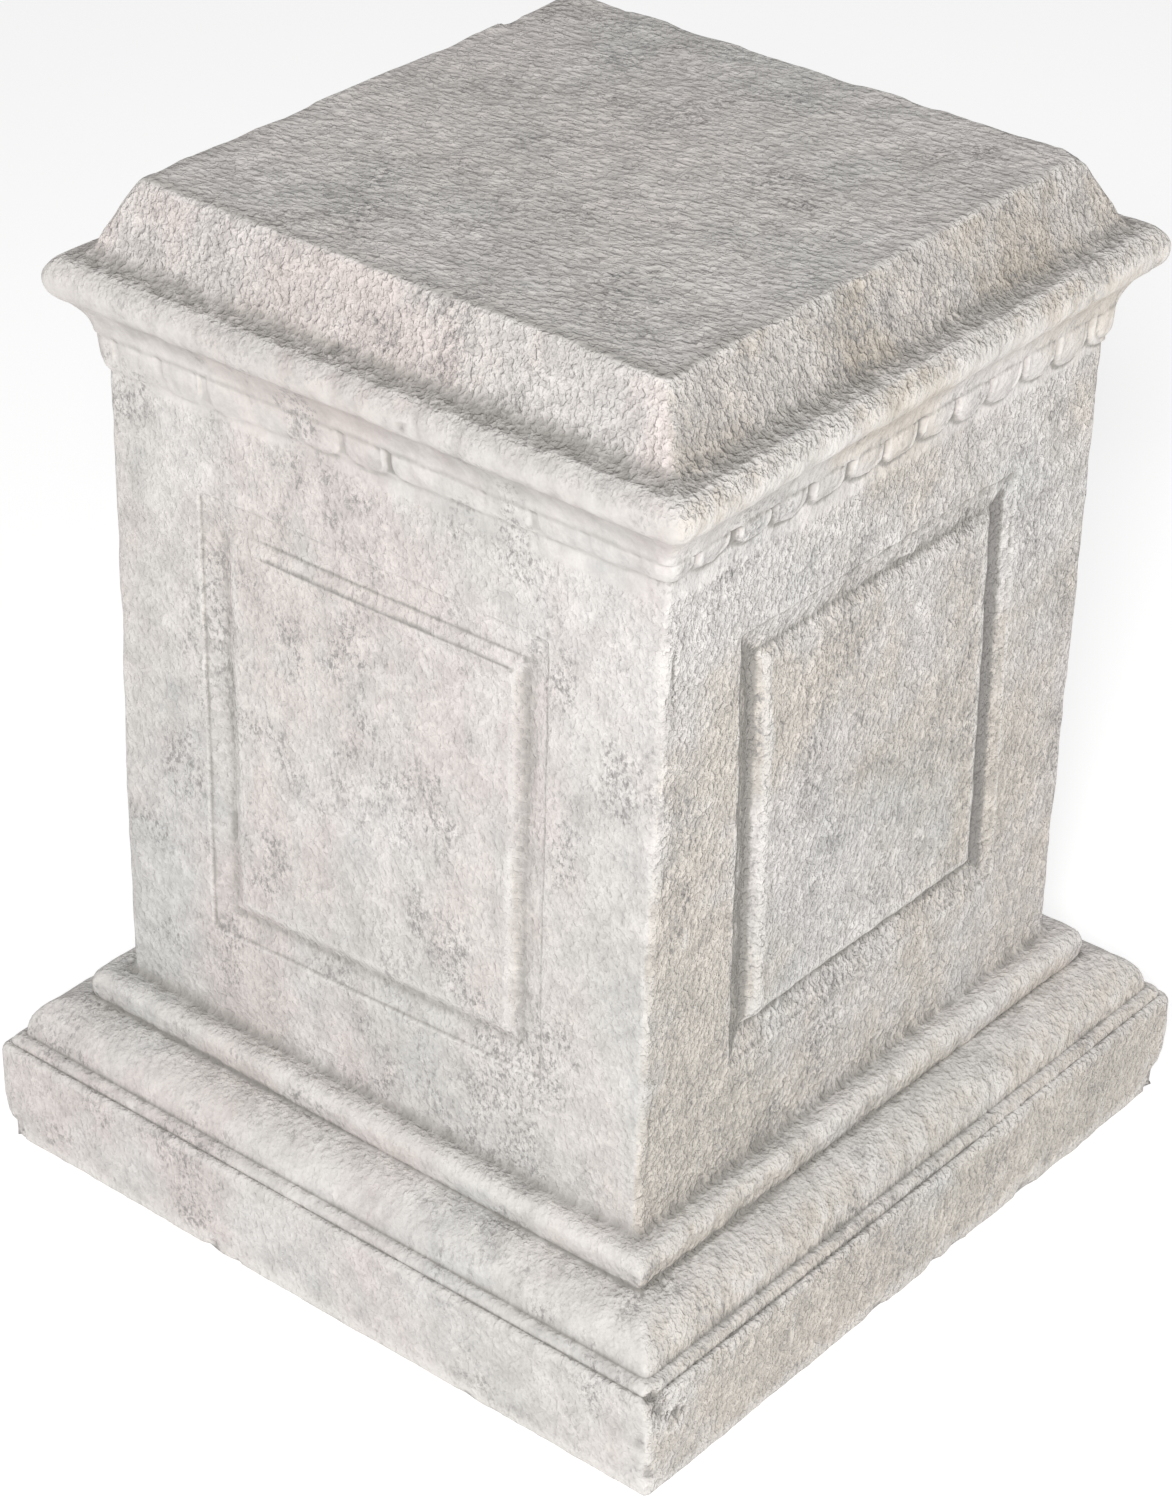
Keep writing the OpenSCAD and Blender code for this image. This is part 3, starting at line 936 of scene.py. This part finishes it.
def stone_tones(w, at, tone, place, clouds, to_right, to_front):
    """Clouds of pale and cool stone, with pink blooms to the front and sandy ones to the right."""
    colour = w.blend(w.ease(clouds, 0.42, 0.62), tone["pale"], tone["cool"])
    high_up = w.ease(w.height(place), at.cove_foot_z - 9 * MM, at.nose_mid_z + 2.2 * MM)
    cloud = w.noise(w.stretched(place, (1, 1, 0.6), (3.1, 1.7, 0.4)), 9.5, 5.0, 0.65)
    pinks = w.ease(cloud, 0.44, 0.62)
    colour = bloom(w, colour, tone["pink"], pinks, high_up, to_front, (0.25, 0.45, 0.35))
    cloud = w.noise(w.stretched(place, (1, 1, 1), (7.4, 2.2, 5.3)), 8.0, 5.0, 0.62)
    sands = w.ease(cloud, 0.40, 0.60)
    return bloom(w, colour, tone["beige"], sands, high_up, to_right, (0.12, 0.5, 0.4))


def stone_shade(w, at, place, mottle, relief, to_right, to_front):
    """How light the stone is: mottled, with painted shade low in its fine relief and painted light high on
    it, painted shade on the front of the nose and on the front faces, a painted highlight on the front of
    the bevel and painted shade on its right."""
    # Painted shade and light: darker where the fine relief is low, lighter where it is high.
    shade = w.times(w.ease(mottle, 0.32, 0.68, 0.86, 1.07), w.ease(relief, 0.34, 0.60, 0.89, 1.06))
    on_bevel = w.ease(w.height(place), at.nose_top_z - 1.6 * MM, at.nose_top_z + 2.4 * MM)
    from_cove = w.ease(w.height(place), at.cove_foot_z, at.cove_foot_z + 10 * MM)
    on_nose = w.minus(from_cove, on_bevel)
    # Painted shade on the front of the nose, a painted highlight on the front of the bevel, painted shade
    # over the front faces and on the right of the bevel.
    shade = w.minus(shade, w.times(w.times(on_nose, to_front), 0.13))
    shade = w.plus(shade, w.times(w.times(on_bevel, to_front), 0.09))
    shade = w.minus(shade, w.times(to_front, 0.02))
    return w.minus(shade, w.times(w.times(on_bevel, to_right), 0.06))


def specked(w, colour, tone, place):
    """Dark specks in clusters."""
    cluster = w.noise(w.stretched(place, (1, 1, 0.75), (1.3, 4.4, 2.2)), 30.0, 5.0, 0.68)
    grit = w.noise(w.stretched(place, (1, 1, 0.7)), 480.0, 4.0, 0.75)
    share = w.times(w.ease(cluster, 0.50, 0.63), w.ease(grit, 0.47, 0.60))
    return w.blend(w.times(share, 0.75), colour, tone["speck"])


def washed(w, colour, tone, clouds, mottle, relief):
    """Grey wash that lies in the hollows, uneven at its edges, with the panels' painted shade that comes in
    with the stored dirt.
    """
    pooled = w.plus(w.times(w.layer("hollow_near"), 0.75), w.times(w.layer("hollow_wide"), 0.16))
    # The stored dirt carries the panels' painted shade into the wash colour.
    pooled = w.plus(pooled, w.times(w.layer("grime"), 0.62))
    uneven = w.plus(w.times(w.minus(mottle, 0.5), 0.9), w.times(w.minus(relief, 0.48), -1.3))
    uneven = w.plus(uneven, w.times(w.minus(clouds, 0.5), 0.5))
    wet = w.plus(pooled, w.times(uneven, w.ease(pooled, 0.0, 0.3, 0.35, 1.0)))
    return w.blend(w.ease(wet, 0.06, 1.15, 0.0, 0.85), colour, tone["wash"])


def rubbed(w, colour, tone, fine):
    """Chalky ridges where the casting has been rubbed."""
    proud = w.plus(w.times(w.layer("hollow_near"), -1.6), w.times(w.layer("hollow_wide"), -0.3))
    proud = w.plus(proud, w.times(w.minus(fine, 0.5), 0.6))
    return w.blend(w.ease(proud, 0.2, 1.1, 0.0, 0.5), colour, tone["chalk"])


def darkened(w, colour, tone, mottle, fine):
    """Darker along the platform's front and right rim, in the deepest crevices, where the panels' painted
    shade runs highest, and in the chips.
    """
    rim = w.times(w.layer("platform_rim"), w.ease(mottle, 0.34, 0.56, 0.35, 1.0))
    colour = w.blend(w.times(rim, 0.62), colour, tone["wash"])
    # Painted shade from the panels' turned-away slopes reaches the deepest crevices, laid in the speck
    # colour.
    crevice = w.times(w.ease(w.layer("grime"), 1.1, 2.6), 0.6)
    chipped = w.ease(w.plus(w.layer("chipped"), w.times(fine, 0.7)), 0.8, 1.4)
    return w.blend(w.larger(crevice, w.times(chipped, 0.65)), colour, tone["speck"])


def stone_colour(w, at, finish, place, relief, to_right, to_front):
    """Colour of the stone: clouds of tone and blooms, mottled with painted shade and highlight, then
    specks, wash with the panels' painted shade, chalk, and the darkening of rim, crevices and chips.
    """
    tone = {name: tuple(getattr(finish, name)) for name in finish.__annotations__}
    clouds = w.noise(place, 11.0, 4.0, 0.6)
    mottle = w.noise(place, 75.0, 6.0, 0.70)
    fine = w.noise(place, 420.0, 3.0, 0.6)
    colour = stone_tones(w, at, tone, place, clouds, to_right, to_front)
    shade = stone_shade(w, at, place, mottle, relief, to_right, to_front)
    grey = w.add("ShaderNodeCombineColor", {0: shade, 1: shade, 2: shade}).outputs[0]
    # Mottling with painted shade and highlight, laid over the tones.
    colour = w.blend(1.0, colour, grey, "MULTIPLY")
    colour = specked(w, colour, tone, place)
    colour = washed(w, colour, tone, clouds, mottle, relief)
    colour = rubbed(w, colour, tone, fine)
    return darkened(w, colour, tone, mottle, fine)


def stone_height(w, at, place, run, to_right, to_front):
    """Fine relief of the surface from 0 to 1: hammered stucco with flakes, brushed lines on the
    platform, and a little hair along the mouldings. The front is calmer, up to the bevel."""
    slanted = w.stretched(place, (1.0, 1.0, 0.94), turn=(math.radians(24), 0.0, 0.0))
    lumps = w.noise(slanted, 400.0, 1.8, 0.5)
    turned = w.stretched(place, (0.6, 1.15, 1.0), turn=(0.0, 0.0, math.radians(-39.8)))
    brushed = w.noise(turned, 300.0, 1.8, 0.5)
    lumps = w.add("ShaderNodeMix", {0: w.layer("platform"), 2: lumps, 3: brushed}).outputs[0]
    flakes = w.noise(w.stretched(place, (1.0, 1.0, 0.9), (2.0, 5.0, 1.0)), 290.0, 2.0, 0.55)
    lumps = w.plus(w.times(lumps, 0.80), w.times(w.ease(flakes, 0.45, 0.55), 0.13))
    hair = w.noise(w.stretched(run, (1, 1, 0.24)), 620.0, 3.0, 0.62)
    lumps = w.plus(w.times(lumps, 0.9), w.times(hair, 0.02))
    lumps = w.plus(lumps, w.times(w.noise(place, 800.0, 1.0, 0.5), 0.07))
    on_bevel = w.ease(w.height(place), at.nose_top_z + 0.4 * MM, at.nose_top_z + 6.4 * MM)
    below_bevel = w.minus(1.0, on_bevel)
    strength = w.plus(w.times(to_right, 0.25), 0.95)
    strength = w.minus(strength, w.times(w.times(to_front, below_bevel), 0.50))
    strength = w.times(strength, w.minus(1.0, w.layer("worn_smooth")))
    return w.plus(w.times(w.minus(lumps, 0.48), strength), 0.48)


def stone_material(finish, at):
    """Weathered cast stone, for a casting with these levels."""
    material = bpy.data.materials.new("weathered_cast_stone")
    material.use_nodes = True
    w = Wiring(material.node_tree)
    place = w.add("ShaderNodeTexCoord").outputs["Object"]
    to_right, to_front = facings(w)
    relief = stone_height(w, at, place, w.layer("skin_run", "Vector"), to_right, to_front)
    bumps = w.add("ShaderNodeBump", {"Strength": 1.0, "Distance": 4.0 * MM, "Height": relief})
    colour = stone_colour(w, at, finish, place, relief, to_right, to_front)
    shader = w.add("ShaderNodeBsdfPrincipled", {"Base Color": colour, "Roughness": 0.88,
                                                "Specular IOR Level": 0.25, "Normal": bumps.outputs[0]})
    w.add("ShaderNodeOutputMaterial", {"Surface": shader.outputs[0]})
    return material


# ---- the studio -------------------------------------------------------------------------


# Places and widths of the lights, in metres.
LIGHT_AIM = (0.0, 0.0, 0.25)
KEY_PLACE, KEY_SIZE = (1.35, -1.84, 1.68), 0.45
FILL_PLACE, FILL_SIZE = (2.4, 0.5, 1.2), 1.2


def add_object(name, data):
    """Puts new data in the scene as an object at the origin."""
    made = bpy.data.objects.new(name, data)
    bpy.context.scene.collection.objects.link(made)
    return made


def add_floor(studio):
    """A wide plain floor just below the pedestal."""
    half, below = 20.0, -0.3 * MM
    mesh = bpy.data.meshes.new("studio_floor")
    corners = [(-half, -half, below), (half, -half, below), (half, half, below), (-half, half, below)]
    mesh.from_pydata(corners, [], [(0, 1, 2, 3)])
    material = bpy.data.materials.new("studio_floor")
    material.use_nodes = True
    shader = material.node_tree.nodes["Principled BSDF"]
    shader.inputs["Base Color"].default_value = (*studio.floor, 1.0)
    shader.inputs["Roughness"].default_value = 0.9
    shader.inputs["Specular IOR Level"].default_value = 0.1
    shader.inputs["Emission Color"].default_value = (1.0, 1.0, 1.0, 1.0)
    shader.inputs["Emission Strength"].default_value = studio.floor_glow
    mesh.materials.append(material)
    add_object("studio_floor", mesh)


def add_light(name, place, size, power):
    """A square soft light that points at the middle of the pedestal."""
    light = bpy.data.lights.new(name, "AREA")
    light.shape = "SQUARE"
    light.size = size
    light.energy = power
    made = add_object(name, light)
    made.location = place
    made.rotation_euler = (Vector(LIGHT_AIM) - Vector(place)).to_track_quat("-Z", "Y").to_euler()


def add_camera(studio):
    """Camera above the front corner."""
    a, e = studio.azimuth, studio.elevation
    back = Vector((math.sin(a) * math.cos(e), -math.cos(a) * math.cos(e), math.sin(e)))
    right = Vector((math.cos(a), math.sin(a), 0.0))
    up = back.cross(right)
    aim = right * studio.aim_side + Vector((0, 0, studio.aim_height))
    c, s = math.cos(studio.roll), math.sin(studio.roll)
    turned_right, turned_up = right * c + up * s, up * c - right * s
    camera = bpy.data.cameras.new("studio_camera")
    camera.lens = studio.lens
    camera.clip_end = 60.0
    made = add_object("studio_camera", camera)
    made.matrix_world = (Matrix.Translation(aim + back * studio.distance)
                         @ Matrix((turned_right, turned_up, back)).transposed().to_4x4())
    bpy.context.scene.camera = made


# ---- operators and panel ----------------------------------------------------------------


class PEDESTAL_OT_cast(Operator):
    """Build the weathered pedestal in place of its plain solid"""

    bl_idname = "pedestal.cast"
    bl_label = "Cast the pedestal"

    def execute(self, context):
        scene = context.scene
        at = Levels(scene.pedestal_sizes)
        mesh = build_casting(scene.pedestal_sizes, scene.pedestal_wear, at)
        mesh.materials.append(stone_material(scene.pedestal_finish, at))
        piece = add_object(PIECE, mesh)
        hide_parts(NODE)
        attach(piece, "root")
        return {"FINISHED"}


class PEDESTAL_OT_studio(Operator):
    """Set up the floor, the soft lights and the camera"""

    bl_idname = "pedestal.studio"
    bl_label = "Set up the studio"

    def execute(self, context):
        studio = context.scene.pedestal_studio
        if studio.distance <= 0:
            raise RuntimeError("The camera needs some distance from the pedestal")
        add_floor(studio)
        add_light("key_light", KEY_PLACE, KEY_SIZE, studio.key_power)
        add_light("fill_light", FILL_PLACE, FILL_SIZE, studio.fill_power)
        world = bpy.data.worlds.new("studio_room")
        world.use_nodes = True
        sky = world.node_tree.nodes["Background"]
        sky.inputs["Color"].default_value = (1.0, 1.0, 1.0, 1.0)
        sky.inputs["Strength"].default_value = studio.room
        context.scene.world = world
        context.scene.view_settings.view_transform = "Standard"
        add_camera(studio)
        return {"FINISHED"}


class PEDESTAL_PT_sidebar(Panel):
    """Sizes, wear, finish and studio of the pedestal"""

    bl_label = "Pedestal"
    bl_idname = "PEDESTAL_PT_sidebar"
    bl_space_type = "VIEW_3D"
    bl_region_type = "UI"
    bl_category = "Pedestal"

    def draw(self, context):
        for title, owner in (("Sizes", "pedestal_sizes"), ("Wear", "pedestal_wear"),
                             ("Finish", "pedestal_finish"), ("Studio", "pedestal_studio")):
            group = getattr(context.scene, owner)
            box = self.layout.box()
            box.label(text=title)
            for name in group.__annotations__:
                box.prop(group, name)
        for operator in (PEDESTAL_OT_cast, PEDESTAL_OT_studio):
            self.layout.operator(operator.bl_idname)


GROUPS = {"pedestal_sizes": PedestalSizes, "pedestal_wear": PedestalWear,
          "pedestal_finish": StoneFinish, "pedestal_studio": StudioSettings}
CLASSES = (*GROUPS.values(), PEDESTAL_OT_cast, PEDESTAL_OT_studio, PEDESTAL_PT_sidebar)


def register():
    for cls in CLASSES:
        bpy.utils.register_class(cls)
    for name, group in GROUPS.items():
        setattr(bpy.types.Scene, name, PointerProperty(type=group))


def unregister():
    for name in GROUPS:
        delattr(bpy.types.Scene, name)
    for cls in reversed(CLASSES):
        bpy.utils.unregister_class(cls)


def main():
    """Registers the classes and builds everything."""
    register()
    bpy.ops.pedestal.cast()
    bpy.ops.pedestal.studio()


if __name__ == "__main__":
    main()
